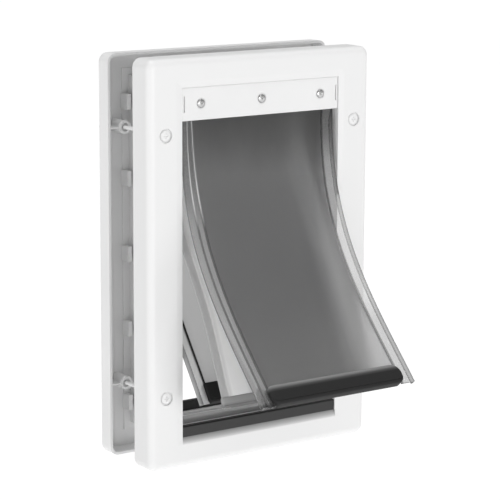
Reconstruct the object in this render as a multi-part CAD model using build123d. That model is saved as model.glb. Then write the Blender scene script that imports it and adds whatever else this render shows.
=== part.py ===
from build123d import *
import os
from math import cos, hypot, radians, tan

# Pet door with three flaps, clamped through a cut-out in a door.
# X runs along the door, Y from the outside to the inside, Z up.
# The origin is the centre of the cut-out on the door's outer face.

# Frame mouldings
FRAME_WIDTH = 292.0
FRAME_HEIGHT = 447.0
FRAME_CORNER_RADIUS = 10.0
FACE_EDGE_RADIUS = 8.0
EXTERIOR_DEPTH = 31.8
INTERIOR_DEPTH = 24.5
DOOR_THICKNESS = 50.0
FACE_WALL = 3.0
RIM_WALL = 3.0

# Passage and the tunnel around it
PASSAGE_WIDTH = 207.0
PASSAGE_FLOOR = -190.0
HEADER_BOTTOM = 156.2
HEADER_HEIGHT = 35.8
BEVEL_WIDTH = 7.5
BEVEL_DEPTH = 1.0
SILL_SLOPE_DEPTH = 3.0
TUNNEL_WALL = 2.0
TUNNEL_PAST_MIDDLE = 8.0
TUNNEL_OVERLAP = 16.0
TUNNEL_CLEARANCE = 0.5

# Flaps: sheet, side seals and the magnet bar along the foot
SHEET = 2.2
CORE_SHEET = 4.0
EXTERIOR_FLAP_LENGTH = 318.0
MIDDLE_FLAP_LENGTH = 322.0
INTERIOR_FLAP_LENGTH = 328.0
FLAP_SIDE_GAP = 2.1
HINGE_DROP = 1.5
EXTERIOR_STRIP = 18.4
MIDDLE_STRIP = 9.0
INTERIOR_STRIP = 14.0
CORE_START = 6.0
BEAD_WIDTH = 6.0
BEAD_DEPTH = 5.0
BEAD_START = 8.0
STRIP_START = 1.5
SHEET_BAR_HEIGHT = 23.0
SHEET_BAR_THICKNESS = 12.0
SHEET_BAR_FILLET = 4.0
SHEET_BAR_OVERHANG = 3.5
CORE_BAR_HEIGHT = 12.0
CORE_BAR_THICKNESS = 9.0
CORE_BAR_FILLET = 2.0
EXTERIOR_BAR_END_RADIUS = 8.0
MIDDLE_BAR_END_RADIUS = 1.5
INTERIOR_BAR_END_RADIUS = 3.0
BAR_FOOT = 5.0
SLOT_CLEARANCE = 0.15
STRIP_BAR_GAP = 0.5
CUT_MARGIN = 4.0

# How far each flap is pushed open, in degrees, and the stretch over which it bends
EXTERIOR_SWING_ANGLE = 30.2
MIDDLE_SWING_ANGLE = 23.5
INTERIOR_SWING_ANGLE = 23.9
SHEET_BEND_LEAD = 25.0
SHEET_BEND_REACH = 358.0
CORE_BEND_LEAD = 80.0
CORE_BEND_REACH = 300.0
CURVE_POINTS = 12
CURVE_ROUNDS = 30
TANGENT_STEP = 1.0

# Retainers that clamp the flaps' hems
PLATE_RECESS = 2.0
PLATE_THICKNESS = 4.1
PLATE_GAP = 0.6
PLATE_EDGE_RADIUS = 1.0
PLATE_SLOT_WIDTH = 1.4
PLATE_SLOT_HEIGHT = 17.0
PLATE_SLOT_DEPTH = 2.0
PLATE_SLOT_INSET = 2.0
CLAMP_GAP = 0.1
LINTEL_WALL = 2.5
HEM_SIDE_GAP = 3.5
HEM_LIFT = 0.1
HEM_TOP_GAP = 2.0

# Screws
RETAINER_SCREW_PITCH = 79.0
RETAINER_SCREW_RADIUS = 1.9
RETAINER_HEAD_RADIUS = 4.8
RETAINER_HEAD_HEIGHT = 2.2
RETAINER_SCREW_LENGTH = 13.0
RETAINER_DISH_RADIUS = 5.4
RETAINER_DISH_DEPTH = 0.8
LINTEL_BOSS_RADIUS = 4.5
LINTEL_BOSS_LENGTH = 7.5
SCREW_CLEARANCE = 0.2
FRAME_SCREW_X = 124.6
FRAME_SCREW_Z = 142.7
FRAME_SCREW_RADIUS = 2.1
FRAME_SCREW_END_GAP = 2.0
FRAME_HEAD_RADIUS = 6.4
FRAME_HEAD_HEIGHT = 2.3
FRAME_RECESS_RADIUS = 7.8
FRAME_RECESS_DEPTH = 2.5
FRAME_BOSS_RADIUS = 7.5
BOSS_MOUTH_RADIUS = 4.6
BOSS_MOUTH_DEPTH = 3.0
HEAD_CROWN = 1.0
RIB_THICKNESS = 1.8

# Lugs and the raised floor on the hidden side of the interior frame
LUG_COUNT = 5
LUG_PITCH = 84.4
LUG_LENGTH = 17.0
LUG_WIDTH = 5.0
LUG_WALL_GAP = 4.0
LUG_REACH = 13.5
FLOOR_STEP = 1.5
FLOOR_STEP_MARGIN = 8.0

# Magnet strips on the sill
EXTERIOR_SILL_HEIGHT = 12.0
EXTERIOR_SILL_THICKNESS = 7.0
EXTERIOR_SILL_SETBACK = 2.0
MIDDLE_SILL_HEIGHT = 5.5
MIDDLE_SILL_THICKNESS = 12.0
INTERIOR_SILL_HEIGHT = 11.0
INTERIOR_SILL_THICKNESS = 7.0
INTERIOR_SILL_SETBACK = 7.5
INTERIOR_STEP_LEAD = 7.0
SILL_STRIP_END_GAP = 0.3
SILL_STRIP_CHAMFER = 1.0

# Places worked out from the sizes above
EXTERIOR_FACE = -EXTERIOR_DEPTH
INTERIOR_FACE = DOOR_THICKNESS + INTERIOR_DEPTH
EXTERIOR_FLOOR = EXTERIOR_FACE + FACE_WALL
INTERIOR_FLOOR = INTERIOR_FACE - FACE_WALL
HEADER_TOP = HEADER_BOTTOM + HEADER_HEIGHT
HEADER_MIDDLE = HEADER_BOTTOM + HEADER_HEIGHT / 2
HALF_PASSAGE = PASSAGE_WIDTH / 2
HINGE_HEIGHT = HEADER_BOTTOM - HINGE_DROP
HALF_STACK = SHEET / 2 + CLAMP_GAP
HINGE_SETBACK = PLATE_RECESS + PLATE_THICKNESS + HALF_STACK
EXTERIOR_HINGE = EXTERIOR_FACE + HINGE_SETBACK
INTERIOR_HINGE = INTERIOR_FACE - HINGE_SETBACK
MIDDLE_HINGE = (EXTERIOR_HINGE + INTERIOR_HINGE) / 2
TUNNEL_END = MIDDLE_HINGE + TUNNEL_PAST_MIDDLE
SLEEVE_START = TUNNEL_END - TUNNEL_OVERLAP
SLEEVE_OFFSET = TUNNEL_WALL + TUNNEL_CLEARANCE
FLAP_HALF = HALF_PASSAGE - FLAP_SIDE_GAP
HEM_WIDTH = PASSAGE_WIDTH - 2 * HEM_SIDE_GAP
RETAINER_SCREW_XS = (-RETAINER_SCREW_PITCH, 0.0, RETAINER_SCREW_PITCH)
FRAME_SCREW_PLACES = [(i * FRAME_SCREW_X, j * FRAME_SCREW_Z) for i in (-1, 1) for j in (-1, 1)]


def block(x0, x1, y0, y1, z0, z1):
    centre = Pos((x0 + x1) / 2, (y0 + y1) / 2, (z0 + z1) / 2)
    return centre * Box(abs(x1 - x0), abs(y1 - y0), abs(z1 - z0))


def rod(x, z, radius, y0, y1):
    return Pos(x, (y0 + y1) / 2, z) * Rot(90, 0, 0) * Cylinder(radius, abs(y1 - y0))


def slab(outline, y0, y1):
    """Extrudes an outline drawn in X and Z from y0 to y1."""
    return extrude(Plane.XZ.offset(-y0) * outline, y0 - y1)


def passage_outline(margin=0.0):
    height = HEADER_TOP - PASSAGE_FLOOR + 2 * margin
    middle = (HEADER_TOP + PASSAGE_FLOOR) / 2
    return Pos(0, middle) * Rectangle(PASSAGE_WIDTH + 2 * margin, height)


def tray(face, seat):
    """Frame moulding: a rounded face with a rim around its hollow back."""
    inward = 1 if seat > face else -1
    shell = slab(RectangleRounded(FRAME_WIDTH, FRAME_HEIGHT, FRAME_CORNER_RADIUS), face, seat)
    front = shell.faces().sort_by(Axis.Y)[0 if inward > 0 else -1]
    shell = fillet(front.edges(), FACE_EDGE_RADIUS)
    hollow = RectangleRounded(
        FRAME_WIDTH - 2 * RIM_WALL,
        FRAME_HEIGHT - 2 * RIM_WALL,
        FRAME_CORNER_RADIUS - RIM_WALL,
    )
    return shell - slab(hollow, face + inward * FACE_WALL, seat)


def bevel(face, inward):
    """Wedge that slopes the face down to the passage on all four sides."""
    wide = Plane.XZ.offset(-face) * passage_outline(BEVEL_WIDTH)
    narrow = Plane.XZ.offset(-(face + inward * BEVEL_DEPTH)) * passage_outline()
    return loft([wide.face(), narrow.face()], ruled=True)


def sill_slope():
    """Slope of the face up to the exterior magnet strip."""
    foot = (EXTERIOR_FACE, PASSAGE_FLOOR - BEVEL_WIDTH)
    crest = (EXTERIOR_FACE + SILL_SLOPE_DEPTH, PASSAGE_FLOOR)
    outline = make_face(Polyline(foot, crest, (EXTERIOR_FACE, PASSAGE_FLOOR), close=True))
    return extrude(Plane.YZ.offset(-HALF_PASSAGE) * outline, PASSAGE_WIDTH)


def lintel(hinge, side, half_width):
    """Cross wall that backs a flap's hem, with a boss for each retainer screw."""
    near = hinge + side * HALF_STACK
    far = near + side * LINTEL_WALL
    wall = block(-half_width, half_width, near, far, HEADER_BOTTOM, HEADER_TOP)
    for x in RETAINER_SCREW_XS:
        wall += rod(x, HEADER_MIDDLE, LINTEL_BOSS_RADIUS, near, far + side * LINTEL_BOSS_LENGTH)
    for x in RETAINER_SCREW_XS:
        hole_radius = RETAINER_SCREW_RADIUS + SCREW_CLEARANCE
        wall -= rod(x, HEADER_MIDDLE, hole_radius, near, far + side * LINTEL_BOSS_LENGTH)
    return wall


def frame_bosses(floor, seat):
    """Round bosses for the frame screws, each tied to the rim by a thin rib."""
    rim = FRAME_WIDTH / 2 - RIM_WALL / 2
    bosses = []
    for x, z in FRAME_SCREW_PLACES:
        outward = 1 if x > 0 else -1
        bosses.append(rod(x, z, FRAME_BOSS_RADIUS, floor, seat))
        half_rib = RIB_THICKNESS / 2
        bosses.append(block(x, outward * rim, floor, seat, z - half_rib, z + half_rib))
    return bosses


def exterior_frame():
    frame = tray(EXTERIOR_FACE, 0.0)
    frame += frame_bosses(EXTERIOR_FLOOR, 0.0)
    frame += slab(passage_outline(TUNNEL_WALL), EXTERIOR_FLOOR, TUNNEL_END)
    frame -= slab(passage_outline(), EXTERIOR_FACE, TUNNEL_END)
    frame -= bevel(EXTERIOR_FACE, 1)
    frame -= sill_slope()
    frame += lintel(EXTERIOR_HINGE, 1, HALF_PASSAGE)
    frame += lintel(MIDDLE_HINGE, -1, HALF_PASSAGE)
    for x, z in FRAME_SCREW_PLACES:
        frame -= rod(x, z, FRAME_SCREW_RADIUS + SCREW_CLEARANCE, EXTERIOR_FACE, 0.0)
        frame -= rod(x, z, FRAME_RECESS_RADIUS, EXTERIOR_FACE, EXTERIOR_FACE + FRAME_RECESS_DEPTH)
    return frame


def interior_frame():
    frame = tray(INTERIOR_FACE, DOOR_THICKNESS)
    frame += slab(passage_outline(SLEEVE_OFFSET + TUNNEL_WALL + FLOOR_STEP_MARGIN), INTERIOR_FLOOR,
                  INTERIOR_FLOOR - FLOOR_STEP)
    frame += frame_bosses(INTERIOR_FLOOR, DOOR_THICKNESS)
    frame += slab(passage_outline(SLEEVE_OFFSET + TUNNEL_WALL), INTERIOR_FLOOR, SLEEVE_START)
    frame += sleeve_lugs()
    frame -= slab(passage_outline(SLEEVE_OFFSET), INTERIOR_FLOOR, SLEEVE_START)
    frame -= slab(passage_outline(), INTERIOR_FACE, INTERIOR_FLOOR)
    frame -= bevel(INTERIOR_FACE, -1)
    frame += lintel(INTERIOR_HINGE, -1, HALF_PASSAGE + SLEEVE_OFFSET)
    frame += interior_step()
    for x, z in FRAME_SCREW_PLACES:
        frame -= rod(x, z, FRAME_SCREW_RADIUS + SCREW_CLEARANCE, DOOR_THICKNESS, INTERIOR_FLOOR)
        frame -= rod(x, z, BOSS_MOUTH_RADIUS, DOOR_THICKNESS, DOOR_THICKNESS + BOSS_MOUTH_DEPTH)
    return frame


def sleeve_lugs():
    """Locating lugs that stand beside the sleeve, down both sides."""
    inner = HALF_PASSAGE + SLEEVE_OFFSET + TUNNEL_WALL + LUG_WALL_GAP
    outer = inner + LUG_WIDTH
    lugs = []
    for i in range(LUG_COUNT):
        z = (i - (LUG_COUNT - 1) / 2) * LUG_PITCH
        for side in (-1, 1):
            lugs.append(block(side * inner, side * outer, INTERIOR_FLOOR, INTERIOR_FLOOR - LUG_REACH,
                              z - LUG_LENGTH / 2, z + LUG_LENGTH / 2))
    return lugs


def interior_step():
    """Step that lifts the sleeve's floor to the passage floor under the inner flap."""
    half = HALF_PASSAGE + SLEEVE_OFFSET
    front = INTERIOR_FACE - INTERIOR_SILL_SETBACK - INTERIOR_SILL_THICKNESS - INTERIOR_STEP_LEAD
    return block(-half, half, front, INTERIOR_FLOOR, PASSAGE_FLOOR - SLEEVE_OFFSET, PASSAGE_FLOOR)


def retainer(hinge, side):
    """Plate screwed over a flap's hem; side points from the hem to the plate's face."""
    half = HALF_PASSAGE - PLATE_GAP
    near = hinge + side * HALF_STACK
    far = near + side * PLATE_THICKNESS
    plate = block(-half, half, near, far, HEADER_BOTTOM, HEADER_TOP - PLATE_GAP)
    face = plate.faces().sort_by(Axis.Y)[-1 if side > 0 else 0]
    plate = fillet(face.edges(), PLATE_EDGE_RADIUS)
    slot = half - PLATE_SLOT_INSET
    for end in (-1, 1):
        plate -= block(end * slot, end * (slot - PLATE_SLOT_WIDTH), far, far - side * PLATE_SLOT_DEPTH,
                       HEADER_MIDDLE - PLATE_SLOT_HEIGHT / 2, HEADER_MIDDLE + PLATE_SLOT_HEIGHT / 2)
    for x in RETAINER_SCREW_XS:
        plate -= rod(x, HEADER_MIDDLE, RETAINER_SCREW_RADIUS + SCREW_CLEARANCE, near, far)
        plate -= rod(x, HEADER_MIDDLE, RETAINER_DISH_RADIUS, far, far - side * RETAINER_DISH_DEPTH)
    return plate


def screw(x, z, seat, side, radius, length, head_radius, head_height):
    """Round-headed screw; side points from the seat to the head."""
    head = rod(x, z, head_radius, seat, seat + side * head_height)
    crown = head.faces().sort_by(Axis.Y)[-1 if side > 0 else 0]
    head = chamfer(crown.edges(), HEAD_CROWN)
    return head + rod(x, z, radius, seat, seat - side * length)


def retainer_screws(hinge, side):
    seat = hinge + side * (HALF_STACK + PLATE_THICKNESS - RETAINER_DISH_DEPTH)
    screws = Part()
    for x in RETAINER_SCREW_XS:
        screws += screw(x, HEADER_MIDDLE, seat, side, RETAINER_SCREW_RADIUS, RETAINER_SCREW_LENGTH,
                        RETAINER_HEAD_RADIUS, RETAINER_HEAD_HEIGHT)
    return screws


def frame_screws():
    seat = EXTERIOR_FACE + FRAME_RECESS_DEPTH
    length = INTERIOR_FLOOR - FRAME_SCREW_END_GAP - seat
    screws = Part()
    for x, z in FRAME_SCREW_PLACES:
        screws += screw(x, z, seat, -1, FRAME_SCREW_RADIUS, length, FRAME_HEAD_RADIUS, FRAME_HEAD_HEIGHT)
    return screws


def hem(hinge):
    """Top of a flap, clamped between its retainer and the lintel."""
    half = HEM_WIDTH / 2
    top = HEADER_TOP - HEM_TOP_GAP
    strip = block(-half, half, hinge - SHEET / 2, hinge + SHEET / 2, HEADER_BOTTOM + HEM_LIFT, top)
    for x in RETAINER_SCREW_XS:
        hole_radius = RETAINER_SCREW_RADIUS + SCREW_CLEARANCE
        strip -= rod(x, HEADER_MIDDLE, hole_radius, hinge - SHEET, hinge + SHEET)
    return strip


def sill_strip(front, thickness, height):
    """Magnet strip that stands on the passage floor under a flap."""
    half = HALF_PASSAGE - SILL_STRIP_END_GAP
    strip = block(-half, half, front, front + thickness, PASSAGE_FLOOR, PASSAGE_FLOOR + height)
    top = strip.faces().sort_by(Axis.Z)[-1]
    return chamfer(top.edges().filter_by(Axis.X), SILL_STRIP_CHAMFER)


class Flap:
    """One flap at rest, hung from its hinge line and bent outwards towards its foot."""

    def __init__(self, hinge, length, swing, lead, reach, sheet, strip, bead, bar, bar_end):
        self.hinge = hinge
        self.length = length
        self.swing = radians(swing)
        self.lead = lead
        self.reach = reach
        self.sheet = sheet
        self.bead = bead
        self.panel_half = FLAP_HALF - strip
        self.bar_height, self.bar_thickness, self.bar_fillet, overhang = bar
        self.bar_end = bar_end
        self.bar_half = self.panel_half + overhang
        self.slot_floor = length - BAR_FOOT

    def angle(self, drop):
        share = min(max((drop + self.lead) / self.reach, 0.0), 1.0)
        return self.swing * share * share * (3 - 2 * share)

    def on_line(self, radius):
        """Point of the flap's middle line at a distance from the hinge."""
        drop = radius
        for _ in range(CURVE_ROUNDS):
            drop = radius * cos(self.angle(drop))
        return self.hinge - drop * tan(self.angle(drop)), HINGE_HEIGHT - drop

    def normal(self, radius):
        """Unit vector, in Y and Z, that points to the flap's outer side."""
        y0, z0 = self.on_line(radius)
        y1, z1 = self.on_line(radius + TANGENT_STEP)
        length = hypot(y1 - y0, z1 - z0)
        return (z1 - z0) / length, (y0 - y1) / length

    def point(self, radius, offset):
        y, z = self.on_line(radius)
        ny, nz = self.normal(radius)
        return y + ny * offset, z + nz * offset

    def band(self, start, end, outer, inner, x0, x1, round_top=False):
        """Curved sheet from start to end along the flap, between two offsets from its middle line."""
        radii = [start + (end - start) * i / CURVE_POINTS for i in range(CURVE_POINTS + 1)]
        front = Spline([self.point(r, outer) for r in radii])
        back = Spline([self.point(r, inner) for r in radii])
        foot = Line(self.point(end, outer), self.point(end, inner))
        if round_top:
            ny, nz = self.normal(start)
            y, z = self.on_line(start)
            crest = (y - nz * outer, z + ny * inner)
            top = ThreePointArc(self.point(start, inner), crest, self.point(start, outer))
        else:
            top = Line(self.point(start, inner), self.point(start, outer))
        outline = make_face([front, foot, back, top])
        return extrude(Plane.YZ.offset(x0) * outline, x1 - x0)

    def panel(self):
        """Tinted sheet, or a thicker core that hangs from a neck of plain sheet."""
        half = self.sheet / 2
        end = self.slot_floor - SLOT_CLEARANCE
        width = (-self.panel_half, self.panel_half)
        if self.sheet == SHEET:
            return self.band(0.0, end, half, -half, *width, round_top=True)
        neck = self.band(0.0, CORE_START + SHEET, SHEET / 2, -SHEET / 2, *width, round_top=True)
        return neck + self.band(CORE_START, end, half, -half, *width)

    def seal(self, side):
        """Clear strip beside the panel, with a soft bead along its free edge where the flap has one."""
        half = SHEET / 2
        depth = BEAD_DEPTH if self.bead else half
        beyond = depth + CUT_MARGIN
        top = STRIP_START - CUT_MARGIN
        past = self.length + CUT_MARGIN
        strip = self.band(STRIP_START, self.length, half, -depth, side * self.panel_half, side * FLAP_HALF)
        if self.bead:
            edge = FLAP_HALF - BEAD_WIDTH
            waste = self.band(top, past, -half, -beyond, 0.0, side * HALF_PASSAGE)
            near = self.hinge - FRAME_HEIGHT
            far = self.hinge + FRAME_HEIGHT
            bead = block(side * edge, side * FRAME_WIDTH, near, far, -FRAME_HEIGHT, HINGE_HEIGHT - BEAD_START)
            strip -= waste - bead
        step = self.bar_half + STRIP_BAR_GAP
        foot = self.band(self.slot_floor - SLOT_CLEARANCE, past, beyond, -beyond, 0.0, side * step)
        return strip - foot

    def magnet(self):
        """Rounded bar that holds the magnet, slotted over the foot of the panel."""
        width = 2 * self.bar_half
        height = self.bar_height
        thickness = self.bar_thickness
        middle = self.length - height / 2
        y, z = self.on_line(middle)
        ny, nz = self.normal(middle)
        across = Plane(origin=(-self.bar_half, y, z), x_dir=(0, ny, nz), z_dir=(1, 0, 0))
        bar = extrude(across * RectangleRounded(thickness, height, self.bar_fillet), width)
        facing = Plane(origin=(0, y, z), x_dir=(1, 0, 0), z_dir=(0, ny, nz))
        outline = RectangleRounded(width, height, self.bar_end)
        bar = bar & extrude(facing * outline, thickness, both=True)
        slot = self.sheet / 2 + SLOT_CLEARANCE
        top = self.length - height - CUT_MARGIN
        return bar - self.band(top, self.slot_floor, slot, -slot, -width, width)


SHEET_BEND = (SHEET_BEND_LEAD, SHEET_BEND_REACH)
CORE_BEND = (CORE_BEND_LEAD, CORE_BEND_REACH)
SHEET_BAR = (SHEET_BAR_HEIGHT, SHEET_BAR_THICKNESS, SHEET_BAR_FILLET, SHEET_BAR_OVERHANG)
CORE_BAR = (CORE_BAR_HEIGHT, CORE_BAR_THICKNESS, CORE_BAR_FILLET, MIDDLE_STRIP)
FLAPS = {
    "exterior": Flap(
        EXTERIOR_HINGE, EXTERIOR_FLAP_LENGTH, EXTERIOR_SWING_ANGLE, *SHEET_BEND, SHEET, EXTERIOR_STRIP,
        bead=True, bar=SHEET_BAR, bar_end=EXTERIOR_BAR_END_RADIUS,
    ),
    "middle": Flap(
        MIDDLE_HINGE, MIDDLE_FLAP_LENGTH, MIDDLE_SWING_ANGLE, *CORE_BEND, CORE_SHEET, MIDDLE_STRIP,
        bead=False, bar=CORE_BAR, bar_end=MIDDLE_BAR_END_RADIUS,
    ),
    "interior": Flap(
        INTERIOR_HINGE, INTERIOR_FLAP_LENGTH, INTERIOR_SWING_ANGLE, *SHEET_BEND, SHEET, INTERIOR_STRIP,
        bead=True, bar=SHEET_BAR, bar_end=INTERIOR_BAR_END_RADIUS,
    ),
}
RETAINER_SIDES = {"exterior": -1, "middle": 1, "interior": 1}
EXTERIOR_SILL_FRONT = EXTERIOR_FACE + EXTERIOR_SILL_SETBACK
MIDDLE_SILL_FRONT = MIDDLE_HINGE - MIDDLE_SILL_THICKNESS / 2
INTERIOR_SILL_FRONT = INTERIOR_FACE - INTERIOR_SILL_SETBACK - INTERIOR_SILL_THICKNESS
SILL_STRIPS = {
    "exterior": (EXTERIOR_SILL_FRONT, EXTERIOR_SILL_THICKNESS, EXTERIOR_SILL_HEIGHT),
    "middle": (MIDDLE_SILL_FRONT, MIDDLE_SILL_THICKNESS, MIDDLE_SILL_HEIGHT),
    "interior": (INTERIOR_SILL_FRONT, INTERIOR_SILL_THICKNESS, INTERIOR_SILL_HEIGHT),
}

nodes = {
    "exterior_frame": exterior_frame(),
    "interior_frame": interior_frame(),
    "frame_screws": frame_screws(),
}
for name, flap in FLAPS.items():
    side = RETAINER_SIDES[name]
    nodes[name + "_flap_retainer"] = retainer(flap.hinge, side)
    nodes[name + "_retainer_screws"] = retainer_screws(flap.hinge, side)
    nodes[name + "_flap_hem"] = hem(flap.hinge)
    nodes[name + "_sill_magnet"] = sill_strip(*SILL_STRIPS[name])
    nodes[name + "_flap_panel"] = flap.panel()
    nodes[name + "_flap_left_seal"] = flap.seal(-1)
    nodes[name + "_flap_right_seal"] = flap.seal(1)
    nodes[name + "_flap_magnet"] = flap.magnet()

os.makedirs("parts", exist_ok=True)
for name, solid in nodes.items():
    export_step(solid, f"parts/{name}.step")
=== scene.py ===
import bmesh
import bpy
from math import atan, cos, hypot, pi, radians, sin, sqrt, tan
from mathutils import Matrix, Vector


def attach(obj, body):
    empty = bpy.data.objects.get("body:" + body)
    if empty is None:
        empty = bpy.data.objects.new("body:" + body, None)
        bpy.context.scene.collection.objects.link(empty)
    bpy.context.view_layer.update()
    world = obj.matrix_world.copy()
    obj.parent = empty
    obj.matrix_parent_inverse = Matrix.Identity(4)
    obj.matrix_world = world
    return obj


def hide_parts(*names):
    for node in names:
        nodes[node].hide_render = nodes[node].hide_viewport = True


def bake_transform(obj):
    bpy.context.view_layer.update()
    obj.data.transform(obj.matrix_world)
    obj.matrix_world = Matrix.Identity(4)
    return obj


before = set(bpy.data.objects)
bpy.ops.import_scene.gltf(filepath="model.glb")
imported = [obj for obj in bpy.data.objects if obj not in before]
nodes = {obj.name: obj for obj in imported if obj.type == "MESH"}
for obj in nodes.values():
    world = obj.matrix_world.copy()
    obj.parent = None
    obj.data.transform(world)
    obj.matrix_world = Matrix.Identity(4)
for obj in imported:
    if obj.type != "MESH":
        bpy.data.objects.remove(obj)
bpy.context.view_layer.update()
MM = 0.001
UNIT = (0.0, 1.0)

# A flap's UV units for each millimetre, and its whole length in them
UV_PER_MM = 0.01
SHEET_UV_LENGTH = 3.2


# Materials

# Scales of the noise that drives tone, gloss and grain
MOULDED_TONE = 14.0
MOULDED_GLOSS = 55.0
MOULDED_GRAIN = 1400.0
SHEET_TONE = 3.0
SHEET_TONE_DETAIL = 4.0
SHEET_TONE_STRETCH = (1.0, 0.35, 1.0)
SHEET_GLOSS = 20.0
SHEET_GRAIN = 260.0
BAND_GLOSS = 40.0
BAND_GRAIN = 900.0
GRAIN_DETAIL = 2.0
GRAIN_DISTANCE = 0.0002
EDGE_SAMPLES = 6

# Drift of a sheet's tone, and how much each direction counts towards its lower right corner, where light and
# shade are painted
TONE_DRIFT = 0.06
CORNER_ACROSS = 0.6
CORNER_DOWN = 0.3

# End of the flap's upper part, where the strips carry painted highlights, as a share of its length, and half
# the length over which it changes
UPPER_END = 0.31
UPPER_BLEND = 0.05


class Shader:
    """A material with one Principled shader, and short helpers for the nodes that feed it."""

    def __init__(self, name, **inputs):
        self.material = bpy.data.materials.new(name)
        self.material.use_nodes = True
        self.tree = self.material.node_tree
        self.shader = self.tree.nodes["Principled BSDF"]
        for key, value in inputs.items():
            self.shader.inputs[key.replace("_", " ")].default_value = value

    def node(self, kind, **settings):
        made = self.tree.nodes.new(kind)
        for key, value in settings.items():
            setattr(made, key, value)
        return made

    def link(self, source, target):
        self.tree.links.new(source, target)

    def coords(self, which):
        return self.node("ShaderNodeTexCoord").outputs[which]

    def axes(self, coords):
        """The sockets X, Y and Z of some coordinates."""
        split = self.node("ShaderNodeSeparateXYZ")
        self.link(coords, split.inputs["Vector"])
        return split.outputs

    def math(self, operation, first, second=None):
        """Result for a socket and, where it is given, a number or another socket."""
        made = self.node("ShaderNodeMath", operation=operation)
        self.link(first, made.inputs[0])
        if isinstance(second, float):
            made.inputs[1].default_value = second
        elif second is not None:
            self.link(second, made.inputs[1])
        return made.outputs["Value"]

    def spread(self, value, source, target):
        """Maps one range of values onto another, within its ends."""
        made = self.node("ShaderNodeMapRange")
        made.inputs["From Min"].default_value = source[0]
        made.inputs["From Max"].default_value = source[1]
        made.inputs["To Min"].default_value = target[0]
        made.inputs["To Max"].default_value = target[1]
        self.link(value, made.inputs["Value"])
        return made.outputs["Result"]

    def noise(self, coords, scale, detail=3.0, stretch=(1.0, 1.0, 1.0)):
        mapping = self.node("ShaderNodeMapping")
        mapping.inputs["Scale"].default_value = stretch
        self.link(coords, mapping.inputs["Vector"])
        texture = self.node("ShaderNodeTexNoise")
        texture.inputs["Scale"].default_value = scale
        texture.inputs["Detail"].default_value = detail
        self.link(mapping.outputs["Vector"], texture.inputs["Vector"])
        return texture.outputs["Fac"]

    def ramp(self, factor, stops):
        """Grey tones between (place, tone) stops."""
        ramp = self.node("ShaderNodeValToRGB")
        elements = ramp.color_ramp.elements
        while len(elements) < len(stops):
            elements.new(0.5)
        for element, (place, tone) in zip(elements, stops):
            element.position = place
            element.color = (tone, tone, tone, 1.0)
        self.link(factor, ramp.inputs["Fac"])
        return ramp.outputs["Color"]

    def product(self, first, second):
        both = self.node("ShaderNodeVectorMath", operation="MULTIPLY")
        self.link(first, both.inputs[0])
        self.link(second, both.inputs[1])
        return both.outputs["Vector"]

    def colour(self, tone):
        self.link(tone, self.shader.inputs["Base Color"])

    def rough(self, coords, scale, gloss):
        """Uneven gloss, between two roughnesses."""
        self.link(self.spread(self.noise(coords, scale), UNIT, gloss), self.shader.inputs["Roughness"])

    def bump(self, coords, scale, strength, edge=0.0):
        """Surface grain; edge rounds the sharp edges in the shading by that radius."""
        bump = self.node("ShaderNodeBump")
        bump.inputs["Strength"].default_value = strength
        bump.inputs["Distance"].default_value = GRAIN_DISTANCE
        self.link(self.noise(coords, scale, GRAIN_DETAIL), bump.inputs["Height"])
        if edge:
            bevel = self.node("ShaderNodeBevel", samples=EDGE_SAMPLES)
            bevel.inputs["Radius"].default_value = edge
            self.link(bevel.outputs["Normal"], bump.inputs["Normal"])
        self.link(bump.outputs["Normal"], self.shader.inputs["Normal"])


def moulded(name, dark, light, gloss, grain, edge, **inputs):
    """Moulded plastic: a faint drift of tone, uneven gloss and a fine grain."""
    made = Shader(name, **inputs)
    place = made.coords("Object")
    made.colour(made.ramp(made.noise(place, MOULDED_TONE), [(0.3, dark), (0.7, light)]))
    made.rough(place, MOULDED_GLOSS, gloss)
    made.bump(place, MOULDED_GRAIN, grain, edge)
    return made.material


def painted_shade_face(name, shade, half_width, back, gloss, grain, edge, **inputs):
    """Moulding with a painted shadow on the slope under the sill strip, given as (height, tone) stops."""
    made = Shader(name, **inputs)
    place = made.coords("Object")
    axes = made.axes(place)
    within = made.math("LESS_THAN", made.math("ABSOLUTE", axes["X"]), half_width)
    ahead = made.math("LESS_THAN", axes["Y"], back)
    low = shade[0][0]
    high = shade[-1][0]
    height = made.spread(axes["Z"], (low, high), UNIT)
    share = made.math("MULTIPLY", made.math("MULTIPLY", within, ahead), height)
    made.colour(made.ramp(share, [((at - low) / (high - low), tone) for at, tone in shade]))
    made.rough(place, MOULDED_GLOSS, gloss)
    made.bump(place, MOULDED_GRAIN, grain, edge)
    return made.material


def soft_sheet(name, tones, painted_corner_lighting, gloss, grain, **inputs):
    """Flexible sheet with painted shade along its length, from its hem (0) to its foot (1),
    times painted shade and painted light towards its lower right corner."""
    made = Shader(name, **inputs)
    place = made.coords("UV")
    axes = made.axes(place)
    cloud = made.noise(place, SHEET_TONE, SHEET_TONE_DETAIL, SHEET_TONE_STRETCH)
    drift = made.spread(cloud, UNIT, (-TONE_DRIFT, TONE_DRIFT))
    down = made.math("ADD", made.math("MULTIPLY", axes["Y"], 1.0 / SHEET_UV_LENGTH), drift)
    across = made.math("MULTIPLY", axes["X"], CORNER_ACROSS)
    corner = made.math("ADD", across, made.math("MULTIPLY", down, CORNER_DOWN))
    made.colour(made.product(made.ramp(down, tones), made.ramp(corner, painted_corner_lighting)))
    made.rough(place, SHEET_GLOSS, gloss)
    made.bump(place, SHEET_GRAIN, grain)
    return made.material


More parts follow.
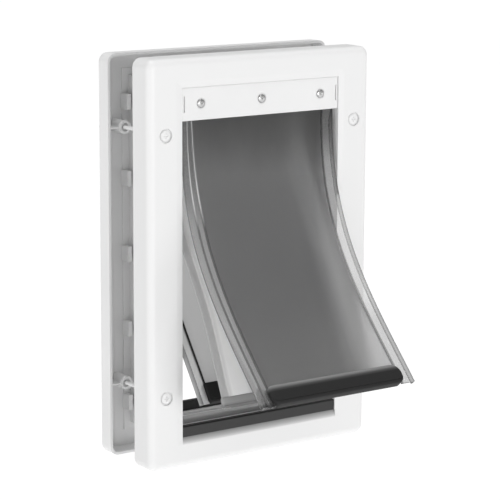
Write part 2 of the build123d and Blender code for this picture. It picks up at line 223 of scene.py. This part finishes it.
def banded(name, which, axis, bands, gloss, grain, along=None, upper=None, clear=None, **inputs):
    """Material whose tone follows bands along one axis of its coordinates. It may have painted light and
    shade along the flap too, painted highlight bands in the upper part of the flap, and clearness in bands."""
    made = Shader(name, **inputs)
    axes = made.axes(made.coords(which))
    place = made.math("ABSOLUTE", axes[axis])
    down = made.math("MULTIPLY", axes["Y"], 1.0 / SHEET_UV_LENGTH)
    tone = made.ramp(place, bands)
    if upper:
        mix = made.node("ShaderNodeMixRGB")
        change = made.spread(down, (UPPER_END - UPPER_BLEND, UPPER_END + UPPER_BLEND), UNIT)
        made.link(change, mix.inputs["Fac"])
        made.link(made.ramp(place, upper), mix.inputs["Color1"])
        made.link(tone, mix.inputs["Color2"])
        tone = mix.outputs["Color"]
    if clear:
        made.link(made.ramp(place, clear), made.shader.inputs["Transmission Weight"])
    if along:
        tone = made.product(tone, made.ramp(down, along))
    made.colour(tone)
    surface = made.coords("Object")
    made.rough(surface, BAND_GLOSS, gloss)
    made.bump(surface, BAND_GRAIN, grain)
    return made.material


WHITE = moulded("white_moulding", dark=0.83, light=0.86, gloss=(0.40, 0.48), grain=0.06, edge=0.0007,
                Specular_IOR_Level=0.4)
# Front frame moulding with a painted shadow on the slope under the sill strip
PAINTED_SHADE_WHITE = painted_shade_face(
    "white_face_painted_shade",
    shade=[(-0.1980, 0.845), (-0.1965, 0.72), (-0.1945, 0.52), (-0.1903, 0.26), (-0.1900, 0.845)],
    half_width=0.1036, back=-0.0285, gloss=(0.40, 0.48), grain=0.06, edge=0.0007, Specular_IOR_Level=0.4)
SCREW_WHITE = moulded("white_paint", dark=0.84, light=0.87, gloss=(0.34, 0.44), grain=0.10, edge=0.0005)
SILL_BLACK = moulded("black_sill_strip", dark=0.006, light=0.010, gloss=(0.45, 0.55), grain=0.15,
                     edge=0.0006)
SILL_GREY = moulded("grey_sill_strip", dark=0.52, light=0.60, gloss=(0.45, 0.55), grain=0.15, edge=0.0006)
STEEL = moulded("zinc_steel", dark=0.50, light=0.62, gloss=(0.20, 0.30), grain=0.10, edge=0.0002,
                Metallic=1.0)
PLAIN_BLACK = moulded("plain_black_bar", dark=0.022, light=0.028, gloss=(0.40, 0.48), grain=0.10,
                      edge=0.0006, Specular_IOR_Level=0.05)

# Tinted sheet: painted shade along it, darkest under the header, then painted shade and painted light
# towards its lower right corner
TINTED = soft_sheet(
    "tinted_sheet",
    tones=[(0.0, 0.26), (0.08, 0.34), (0.20, 0.55), (0.45, 0.54), (0.7, 0.50), (1.0, 0.47)],
    painted_corner_lighting=[(0.0, 0.81), (0.30, 0.81), (0.38, 0.75), (0.48, 0.77), (0.535, 0.94), (0.56, 1.05),
           (0.61, 1.12), (1.0, 1.0)],
    gloss=(0.34, 0.38), grain=0.03, Transmission_Weight=0.95, IOR=1.35)
# Darker copy of the tinted sheet for the inner flap, with painted shade towards its foot
INNER_TINTED = soft_sheet(
    "inner_tinted_sheet",
    tones=[(0.0, 0.48), (0.6, 0.48), (1.0, 0.44)],
    painted_corner_lighting=[(0.0, 1.0), (1.0, 1.0)],
    gloss=(0.46, 0.52), grain=0.03, Transmission_Weight=0.95, IOR=1.35)

# Clear strip, from its weld at the sheet (0), over its groove (0.5), to its free edge (1), with painted
# shade towards its top and at its cut foot, and painted highlights along its weld and groove in the upper
# part
CLEAR = banded(
    "clear_strip", "UV", "X",
    bands=[(0.0, 0.14), (0.08, 0.14), (0.14, 0.66), (0.45, 0.66), (0.475, 0.20), (0.525, 0.20),
           (0.57, 0.66), (1.0, 0.72)],
    along=[(0.0, 0.60), (0.12, 0.70), (0.35, 1.0), (0.975, 1.0), (0.99, 0.35)],
    upper=[(0.0, 1.0), (0.08, 1.0), (0.12, 0.60), (0.46, 0.60), (0.475, 1.0), (0.525, 1.0),
           (0.55, 0.60), (1.0, 0.60)],
    clear=[(0.0, 0.25), (0.08, 0.25), (0.12, 0.9), (0.46, 0.9), (0.475, 0.25), (0.525, 0.25),
           (0.54, 0.9), (1.0, 0.9)],
    gloss=(0.16, 0.22), grain=0.01, IOR=1.2)
# The same strip where its tube hides the groove, as a shaded copy: painted shade on its tube and towards its
# top, and painted light further down
SHADED_CLEAR = banded(
    "shaded_clear_strip", "UV", "X",
    bands=[(0.0, 0.22), (0.06, 0.22), (0.12, 0.64), (0.52, 0.64), (0.66, 0.26), (0.84, 0.24),
           (0.94, 0.42), (1.0, 0.70)],
    along=[(0.0, 0.62), (0.08, 0.80), (0.18, 1.30), (0.26, 1.45), (0.60, 1.30), (0.74, 1.0), (1.0, 0.96)],
    gloss=(0.16, 0.22), grain=0.01, Transmission_Weight=0.9, IOR=1.12)
# Paler strip with a grey tube, and painted shade towards its top
PALE_CLEAR = banded(
    "pale_clear_strip", "UV", "X",
    bands=[(0.0, 0.05), (0.10, 0.05), (0.17, 0.85), (0.48, 0.85), (0.58, 0.34), (0.90, 0.34), (1.0, 0.50)],
    along=[(0.0, 0.70), (0.4, 1.0), (1.0, 1.0)],
    gloss=(0.20, 0.28), grain=0.01, Transmission_Weight=0.45, IOR=1.2)
# Milky core, in tenths of a metre from its middle, with soft edges; painted shade over its middle under the
# front flap, a painted lighter band where it shows past the front flap, and a faint painted glow (emission)
MILKY = banded(
    "milky_sheet_painted_light", "UV", "X",
    bands=[(0.0, 0.62), (0.60, 0.62), (0.70, 0.94), (0.86, 0.94), (0.945, 0.44), (1.0, 0.36)],
    gloss=(0.46, 0.56), grain=0.05, IOR=1.4, Emission_Color=(1.0, 1.0, 1.0, 1.0), Emission_Strength=0.09)
# Grey foot of the core, from its top (0) to its foot (1), with painted shade towards its foot
GREY_BAR_PAINTED_SHADE = banded(
    "grey_bar_painted_shade", "UV", "Y",
    bands=[(0.0, 0.34), (0.5, 0.34), (1.0, 0.14)],
    gloss=(0.60, 0.70), grain=0.10, Specular_IOR_Level=0.05)
# Black bar with a painted highlight along its top, where it meets the sheet, from its top (0) to its foot
# (1)
BLACK_PAINTED_HIGHLIGHT = banded(
    "black_bar", "UV", "Y",
    bands=[(0.0, 0.33), (0.12, 0.25), (0.26, 0.08), (0.38, 0.030), (1.0, 0.030)],
    gloss=(0.40, 0.48), grain=0.10, Specular_IOR_Level=0.05)
# Dark sill strip, painted black along its top for the shade there
SILL_DARK_PAINTED_SHADE = banded(
    "dark_sill_strip_painted_shade", "Generated", "Z",
    bands=[(0.0, 0.020), (0.84, 0.020), (0.88, 0.006), (1.0, 0.006)],
    gloss=(0.45, 0.55), grain=0.15)


def dress(node, material):
    mesh = nodes[node].data
    mesh.materials.clear()
    mesh.materials.append(material)


dress("exterior_frame", PAINTED_SHADE_WHITE)
dress("interior_frame", WHITE)
for which in ("exterior", "middle", "interior"):
    dress(which + "_flap_retainer", WHITE)
    dress(which + "_flap_hem", TINTED)
dress("exterior_sill_magnet", SILL_DARK_PAINTED_SHADE)
dress("middle_sill_magnet", SILL_GREY)
dress("interior_sill_magnet", SILL_BLACK)


# Meshes

SHARP_ANGLE = radians(38.0)


def steps(low, high, count):
    return [low + (high - low) * i / count for i in range(count + 1)]


def portion(value, start, end):
    """0 up to the start, 1 from the end on, and straight between them."""
    return min(max((value - start) / (end - start), 0.0), 1.0)


def smooth(share):
    return share * share * (3 - 2 * share)


def skin(name, bodies, uvs=None):
    """Object made of closed skins, each over a row of equal rings of points with a flat cap at each end."""
    points = []
    faces = []
    for rings in bodies:
        count = len(rings[0])
        first = len(points)
        points += [p for ring in rings for p in ring]
        last = len(points) - count
        faces.append([first + j for j in range(count)])
        faces.append([last + j for j in range(count)])
        for start in range(first, last, count):
            for j in range(count):
                k = (j + 1) % count
                faces.append((start + j, start + count + j, start + count + k, start + k))
    mesh = bpy.data.meshes.new(name)
    mesh.from_pydata(points, [], faces)
    if uvs:
        flat_uvs = [uv for ring in uvs for uv in ring]
        layer = mesh.uv_layers.new(name="length_and_width")
        for loop in mesh.loops:
            layer.data[loop.index].uv = flat_uvs[loop.vertex_index]
    shell = bmesh.new()
    shell.from_mesh(mesh)
    bmesh.ops.recalc_face_normals(shell, faces=shell.faces)
    shell.to_mesh(mesh)
    shell.free()
    mesh.shade_smooth()
    mesh.set_sharp_from_angle(angle=SHARP_ANGLE)
    piece = bpy.data.objects.new(name, mesh)
    bpy.context.scene.collection.objects.link(piece)
    return piece


# Header plate, a little wider and higher than its solid, so that it fills its seat

PLATE_GROWTH = 0.38 * MM
PLATE_EDGE_BAND = 0.3 * MM

plate = bpy.data.objects.new("exterior_plate", nodes["exterior_flap_retainer"].data.copy())
plate.matrix_world = nodes["exterior_flap_retainer"].matrix_world
bpy.context.scene.collection.objects.link(plate)
side_edge = max(v.co.x for v in plate.data.vertices)
top_edge = max(v.co.z for v in plate.data.vertices)
for v in plate.data.vertices:
    if abs(v.co.x) > side_edge - PLATE_EDGE_BAND:
        v.co.x += PLATE_GROWTH if v.co.x > 0 else -PLATE_GROWTH
    if v.co.z > top_edge - PLATE_EDGE_BAND:
        v.co.z += PLATE_GROWTH
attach(plate, "frame")
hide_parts("exterior_flap_retainer")


# Screws, in millimetres

FRAME_SCREW_X = 124.6
FRAME_SCREW_Z = 142.7
RETAINER_SCREW_PITCH = 79.0
RETAINER_SCREW_Z = 174.1
TIP_RADIUS = 0.4
TIP_LENGTH = 1.2
THREAD_STEP = 0.8
THREAD_DEPTH = 0.5
THREAD_RUN_OUT = 2.0
NECK = 0.02
RIM_CHAMFER = 0.2
RIM_HEIGHT = 0.25
DOME_START = 0.15
DOME_STEPS = 6
DOME_NARROWING = 0.35
DOME_HEIGHT_SHARE = 0.9
CROWN_HEIGHT_SHARE = 0.97
RECESS_FLOOR_SHARE = 0.6
RECESS_TAPER = 0.82

# Outline of a cross recess: half the width of an arm over its length, and the angles of its points
ARM_RATIO = 0.22
QUARTER = pi / 2
CORNER = atan(ARM_RATIO)
FLANK = 0.38
INNER_FLANK = 0.58
QUARTER_ANGLES = (-CORNER, -CORNER / 2, 0.0, CORNER / 2, CORNER, FLANK, INNER_FLANK, QUARTER / 2,
                  QUARTER - INNER_FLANK, QUARTER - FLANK)
CROSS_ANGLES = [k * QUARTER + angle for k in range(4) for angle in QUARTER_ANGLES]
ANGLE_MARGIN = 1e-6


def cross_radius(angle, arm):
    """Distance from a screw's middle to the edge of its cross recess."""
    folded = abs((angle + QUARTER / 2) % QUARTER - QUARTER / 2)
    if folded > CORNER + ANGLE_MARGIN:
        return ARM_RATIO * arm / sin(folded)
    return arm / cos(folded)


def screw(x, z, seat, side, shaft, length, radius, height, thread, recess):
    """Rings of a round-headed screw with a cross recess; side points from the seat to the head.
    A section is its share of the cross outline, its radius and its height over the seat."""
    arm = radius * recess
    sections = [(0.0, TIP_RADIUS, -length)]
    for i in range(int(thread / THREAD_STEP)):
        around = shaft if i % 2 else shaft - THREAD_DEPTH
        sections.append((0.0, around, -length + TIP_LENGTH + THREAD_STEP * i))
    sections.append((0.0, shaft, -length + thread + THREAD_RUN_OUT))
    sections.append((0.0, shaft, -NECK))
    sections.append((0.0, radius - RIM_CHAMFER, 0.0))
    sections.append((0.0, radius, RIM_HEIGHT))
    for share in steps(DOME_START, 1.0, DOME_STEPS):
        rise = (height - RIM_HEIGHT) * sin(share * QUARTER) * DOME_HEIGHT_SHARE
        sections.append((0.0, radius * (1 - DOME_NARROWING * share * share), RIM_HEIGHT + rise))
    sections.append((0.5, radius * (1 - DOME_NARROWING), height * CROWN_HEIGHT_SHARE))
    sections.append((1.0, 0.0, height))
    sections.append((RECESS_TAPER, 0.0, height * RECESS_FLOOR_SHARE))
    rings = []
    for cross, around, out in sections:
        ring = []
        for angle in CROSS_ANGLES:
            r = around * (1 - cross) + cross_radius(angle, arm) * cross
            ring.append(Vector((x + r * cos(angle), seat + side * out, z + r * sin(angle))) * MM)
        rings.append(ring)
    return rings


def screws(node, places, slot, material, **size):
    piece = skin(node + "_turned", [screw(x, z, **size) for x, z in places])
    piece.data.materials.append(material)
    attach(piece, "frame")
    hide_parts(node)


frame_screw_places = [(i * FRAME_SCREW_X, j * FRAME_SCREW_Z) for i in (-1, 1) for j in (-1, 1)]
screws("frame_screws", frame_screw_places, "white_screw", SCREW_WHITE,
       seat=-29.3, side=-1, shaft=2.1, length=98.8, radius=6.4, height=2.3, thread=45.0, recess=0.5)
retainer_screw_places = [(i * RETAINER_SCREW_PITCH, RETAINER_SCREW_Z) for i in (-1, 0, 1)]
for which, seat, side in (("exterior", -29.0, -1), ("middle", 25.85, 1), ("interior", 71.7, 1)):
    screws(which + "_retainer_screws", retainer_screw_places, "steel", STEEL,
           seat=seat, side=side, shaft=1.9, length=13.0, radius=4.8, height=2.2, thread=9.0, recess=0.3)


# Flaps, in millimetres

CURVE_ROUNDS = 40
TANGENT_STEP = 1.0

# Where the header lets go of a flap, where the flap hangs free, and half its thickness where it is held
HELD_END = 1.0
FREE_START = 13.0
HELD_HALF = 1.05

# Rings along a flap: close together to the end of the held part, then even
CLOSE_END = 14.0
CLOSE_RINGS = 8
EVEN_START = 18.0
EVEN_RINGS = 70
SHEET_FOOT_GAP = 6.0
SHEET_COLUMNS = 24
EDGE_STEPS = 6

# Trim under the header: the strips get narrower, and the sheet reaches out on the left
TRIM_LENGTH = 115.0
TRIM = 1.6
TUBE_START = 92.6
SHEET_EDGE = 83.0
REACH_START = 63.0
REACH = 4.8

# Ribbed strip: its weld, rib, web, groove and tube
WELD_GAP = 0.05
RIB = ((0.0, 0.8), (0.35, 1.6), (1.0, 1.9), (1.65, 1.6), (1.95, 0.8))
WEB_TOP = 0.8
WEB_FOOT = -0.9
GROOVE_RUN = 0.8
GROOVE_LIP = (0.2, 0.3)
GROOVE_BACK = 0.4
TUBE_MIDDLE = -1.2
TUBE_RADIUS = 3.2
TUBE_ANGLES = steps(0.42, 2 * pi - 0.35, 26)

# Plain strip of the core: its section from the weld round the free edge
PLAIN_STRIP = [(92.5, 0.9), (95.0, 1.0), (99.0, 1.0), (101.0, 0.6), (101.4, 0.0), (101.0, -0.6),
               (99.0, -1.0), (95.0, -1.0), (92.5, -0.9)]

# Magnet bar: its seat on the sheet, its lip and groove, its round edges and its ends
BAR_SEAT = 0.1
LIP_HEIGHT = 3.8
LIP_GROOVE = ((0.0, 0.1), (0.3, 0.7), (0.7, 0.7), (1.0, 0.3))
LIP_SETBACK = 0.3
FRONT_RADIUS = 2.4
BACK_RADIUS = 2.0
SLOPE_STEPS = 10
ROUND_STEPS = 5
END_START = 0.05
END_STEPS = 8
BAR_COLUMNS = 40
END_THINNING = 0.45


class Flap:
    """The rest line of a flap: a point is given by its distance from the hinge,
    its place across the flap and its height over the flap's middle line, outwards."""

    HINGE_Z = 154.7
    HALF = 101.4
    TOP = -1.35

    def __init__(self, which, hinge, length, swing, lead, reach, panel_half, thickness):
        self.which = which
        self.hinge = hinge
        self.length = length
        self.swing = radians(swing)
        self.lead = lead
        self.reach = reach
        self.panel_half = panel_half
        self.thickness = thickness

    def line(self, along):
        drop = along
        for _ in range(CURVE_ROUNDS):
            angle = self.swing * smooth(portion(drop, -self.lead, self.reach - self.lead))
            drop = along * cos(angle)
        return self.hinge - drop * tan(angle), self.HINGE_Z - drop

    def place(self, x, along, height):
        y0, z0 = self.line(along)
        y1, z1 = self.line(along + TANGENT_STEP)
        length = hypot(y1 - y0, z1 - z0)
        return Vector((x, y0 + height * (z1 - z0) / length, z0 + height * (y0 - y1) / length)) * MM

    def rings(self, foot_gap):
        """Distances along the flap where its section is placed."""
        close = steps(self.TOP, CLOSE_END, CLOSE_RINGS)
        return close + steps(EVEN_START, self.length - foot_gap, EVEN_RINGS)

    def swinging(self, piece, replaced, material, slot):
        """Gives a piece of this flap its material, bakes its place into its mesh and hides the part it
        stands for.
        """
        piece.data.materials.append(material)
        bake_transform(piece)
        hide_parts(self.which + replaced)


def from_middle(x):
    """UV place across a flap, from its middle."""
    return x * UV_PER_MM


def trimmed(x, along):
    """Place across the flap after the trim under the header."""
    high = max(0.0, 1.0 - along / TRIM_LENGTH)
    away = abs(x)
    if x > 0:
        return x - TRIM * high * portion(away, TUBE_START, Flap.HALF)
    strip = portion(away, SHEET_EDGE, Flap.HALF)
    bulge = portion(away, REACH_START, SHEET_EDGE) * (1.0 - strip)
    return x + high * (TRIM * strip - REACH * bulge)


def swept(name, flap, profile, alongs, across):
    """Runs a closed profile of (x, height) points along the flap, flattened under the header."""
    rings = []
    uvs = []
    for along in alongs:
        free = smooth(portion(along, HELD_END, FREE_START))
        ring = []
        for x, height in profile:
            held = min(max(height, -HELD_HALF), HELD_HALF)
            ring.append(flap.place(trimmed(x, along), along, height * free + held * (1 - free)))
        rings.append(ring)
        uvs.append([(across(x), along * UV_PER_MM) for x, height in profile])
    return skin(name, [rings], uvs)


def panel(flap, slot, material):
    """Sheet with softly rounded side edges."""
    half = flap.panel_half
    thick = flap.thickness / 2
    columns = steps(-half + thick, half - thick, SHEET_COLUMNS)
    turn = steps(-pi / 2, pi / 2, EDGE_STEPS)[1:-1]
    profile = [(x, thick) for x in columns]
    profile += [(half - thick + thick * cos(a), -thick * sin(a)) for a in turn]
    profile += [(x, -thick) for x in reversed(columns)]
    profile += [(-half + thick - thick * cos(a), thick * sin(a)) for a in turn]
    sheet = swept(flap.which + "_sheet", flap, profile, flap.rings(SHEET_FOOT_GAP), from_middle)
    flap.swinging(sheet, "_flap_panel", material, slot)


def seal(flap, side, profile, across, material):
    """Clear strip along one side of the sheet, cut straight at its foot."""
    turned = [(side * x, height) for x, height in profile]
    hand = "right" if side > 0 else "left"
    strip = swept(flap.which + "_" + hand + "_strip", flap, turned, flap.rings(0.0), across)
    flap.swinging(strip, "_flap_" + hand + "_seal", material, "clear_strip")


def bar(flap, slot, material, half, height, depth, slope, rounding):
    """Magnet bar around the foot of the sheet: it slopes up from the sheet and ends in a thin lip."""
    low = flap.length - height
    sheet = flap.thickness / 2 + BAR_SEAT
    lip = height - LIP_HEIGHT
    quarter = steps(0.0, pi / 2, ROUND_STEPS)
    front = depth - LIP_SETBACK - FRONT_RADIUS
    back = BACK_RADIUS - depth
    section = [(slope - slope * cos(a), sheet + (depth - sheet) * sin(a))
               for a in steps(0.0, pi / 2, SLOPE_STEPS)]
    section += [(lip + down, depth - inset) for down, inset in LIP_GROOVE]
    section += [(height + FRONT_RADIUS * (sin(a) - 1), front + FRONT_RADIUS * cos(a)) for a in quarter]
    section += [(height + BACK_RADIUS * (cos(a) - 1), back - BACK_RADIUS * sin(a)) for a in quarter]
    section += [(BACK_RADIUS * (1 - sin(a)), back - BACK_RADIUS * cos(a)) for a in quarter]
    section.append((0.0, -sheet))
    ends = [half - rounding * (1 - cos(a)) for a in steps(END_START, pi / 2, END_STEPS)]
    xs = [-x for x in ends]
    xs += steps(-half + rounding, half - rounding, BAR_COLUMNS)[1:-1]
    xs += reversed(ends)
    rings = []
    uvs = []
    for x in xs:
        past = max(0.0, abs(x) - (half - rounding)) / rounding
        inset = rounding * (1 - sqrt(max(0.0, 1 - past * past)))
        size = 1.0 - 2.0 * inset / height
        thinned = 1.0 - END_THINNING * (1 - size)
        points = [(low + height / 2 + (a - height / 2) * size, h * thinned) for a, h in section]
        rings.append([flap.place(x, a, h) for a, h in points])
        uvs.append([(from_middle(x), (a - low) / height) for a, h in points])
    piece = skin(flap.which + "_bar", [rings], uvs)
    flap.swinging(piece, "_flap_magnet", material, slot)


def ribbed_strip(flap, groove):
    """Section of a clear strip with a rib at the sheet, a thin web, a groove and a soft tube at the free
    edge, and the place of each point across it from 0 at the weld to 1 at the edge."""
    inside = flap.panel_half + WELD_GAP
    edge = Flap.HALF
    middle = (groove + edge) / 2
    half = (edge - groove) / 2
    section = [(inside + out, height) for out, height in RIB]
    section += [(groove - GROOVE_RUN, WEB_TOP), (groove - GROOVE_LIP[0], GROOVE_LIP[1])]
    section += [(middle - half * cos(a), TUBE_MIDDLE + TUBE_RADIUS * sin(a)) for a in TUBE_ANGLES]
    section += [(groove - GROOVE_BACK, WEB_FOOT), (inside, WEB_FOOT)]

    def across(x):
        place = abs(x)
        if place < groove:
            return 0.5 * (place - inside) / (groove - inside)
        return 0.5 + 0.5 * (place - groove) / (edge - groove)

    return section, across


OUTER = Flap("exterior", hinge=-24.5, length=318.0, swing=30.2, lead=25.0, reach=358.0, panel_half=83.0,
             thickness=2.2)
MIDDLE = Flap("middle", hinge=21.35, length=322.0, swing=23.5, lead=80.0, reach=300.0, panel_half=92.4,
              thickness=4.0)
INNER = Flap("interior", hinge=67.2, length=328.0, swing=23.9, lead=25.0, reach=358.0, panel_half=87.4,
             thickness=2.2)

panel(OUTER, "tinted_sheet", TINTED)
panel(INNER, "tinted_sheet", INNER_TINTED)
panel(MIDDLE, "milky_core", MILKY)
seal(OUTER, -1, *ribbed_strip(OUTER, groove=92.0), CLEAR)
seal(OUTER, 1, *ribbed_strip(OUTER, groove=97.0), SHADED_CLEAR)
for side in (-1, 1):
    seal(INNER, side, *ribbed_strip(INNER, groove=97.5), PALE_CLEAR)
    seal(MIDDLE, side, PLAIN_STRIP, from_middle, MILKY)
bar(OUTER, "magnet_black", BLACK_PAINTED_HIGHLIGHT, half=86.5, height=23.0, depth=6.0, slope=12.0, rounding=8.0)
bar(MIDDLE, "magnet_grey", GREY_BAR_PAINTED_SHADE, half=101.4, height=12.0, depth=2.7, slope=2.0, rounding=1.5)
bar(INNER, "magnet_black", PLAIN_BLACK, half=90.9, height=23.0, depth=6.0, slope=6.0, rounding=3.0)


# Stage, light and camera, in metres

FLOOR_REACH = 12.0
FLOOR_HEIGHT = -0.2237
WORLD_STRENGTH = 0.30
LIGHT_TARGET = Vector((0.0, 0.0, 0.0))
CAMERA_LENS = 152.286
CAMERA_SENSOR = 36.0
CAMERA_RIGHT = (0.81965, -0.57285, 0.00462)
CAMERA_BACK = (-0.56284, -0.80377, 0.19278)
CAMERA_PLACE = (-1.31677, -1.88927, 0.45439)

floor_mesh = bpy.data.meshes.new("floor")
corners = [(i * FLOOR_REACH, j * FLOOR_REACH, FLOOR_HEIGHT) for i, j in ((-1, -1), (1, -1), (1, 1), (-1, 1))]
floor_mesh.from_pydata(corners, [], [(0, 1, 2, 3)])
floor = bpy.data.objects.new("floor", floor_mesh)
bpy.context.scene.collection.objects.link(floor)
pale = Shader("pale_floor", Roughness=0.9, Base_Color=(0.04, 0.04, 0.04, 1.0),
              Emission_Color=(1.0, 1.0, 1.0, 1.0), Emission_Strength=1.0)
floor_mesh.materials.append(pale.material)

world = bpy.data.worlds.new("studio")
bpy.context.scene.world = world
world.use_nodes = True
background = world.node_tree.nodes["Background"]
background.inputs["Color"].default_value = (1.0, 1.0, 1.0, 1.0)
background.inputs["Strength"].default_value = WORLD_STRENGTH


def area_light(name, place, size, power):
    """Round light that points at the middle of the frame."""
    light = bpy.data.lights.new(name, "AREA")
    light.shape = "DISK"
    light.size = size
    light.energy = power
    lamp = bpy.data.objects.new(name, light)
    lamp.location = place
    lamp.rotation_euler = (LIGHT_TARGET - Vector(place)).to_track_quat("-Z", "Y").to_euler()
    bpy.context.scene.collection.objects.link(lamp)


area_light("front_key", place=(0.1, -3.4, 0.0), size=1.6, power=58.0)
area_light("left_fill", place=(-2.9, -0.25, 0.2), size=0.8, power=15.5)
area_light("top_softbox", place=(0.0, 0.2, 2.6), size=2.4, power=42.0)

camera_data = bpy.data.cameras.new("camera")
camera_data.lens = CAMERA_LENS
camera_data.sensor_width = CAMERA_SENSOR
camera = bpy.data.objects.new("camera", camera_data)
right = Vector(CAMERA_RIGHT).normalized()
back = Vector(CAMERA_BACK)
back = (back - right * back.dot(right)).normalized()
up = back.cross(right)
turn = Matrix((right, up, back)).transposed().to_4x4()
camera.matrix_world = Matrix.Translation(CAMERA_PLACE) @ turn
bpy.context.scene.collection.objects.link(camera)
bpy.context.scene.camera = camera
bpy.context.scene.view_settings.view_transform = "Standard"
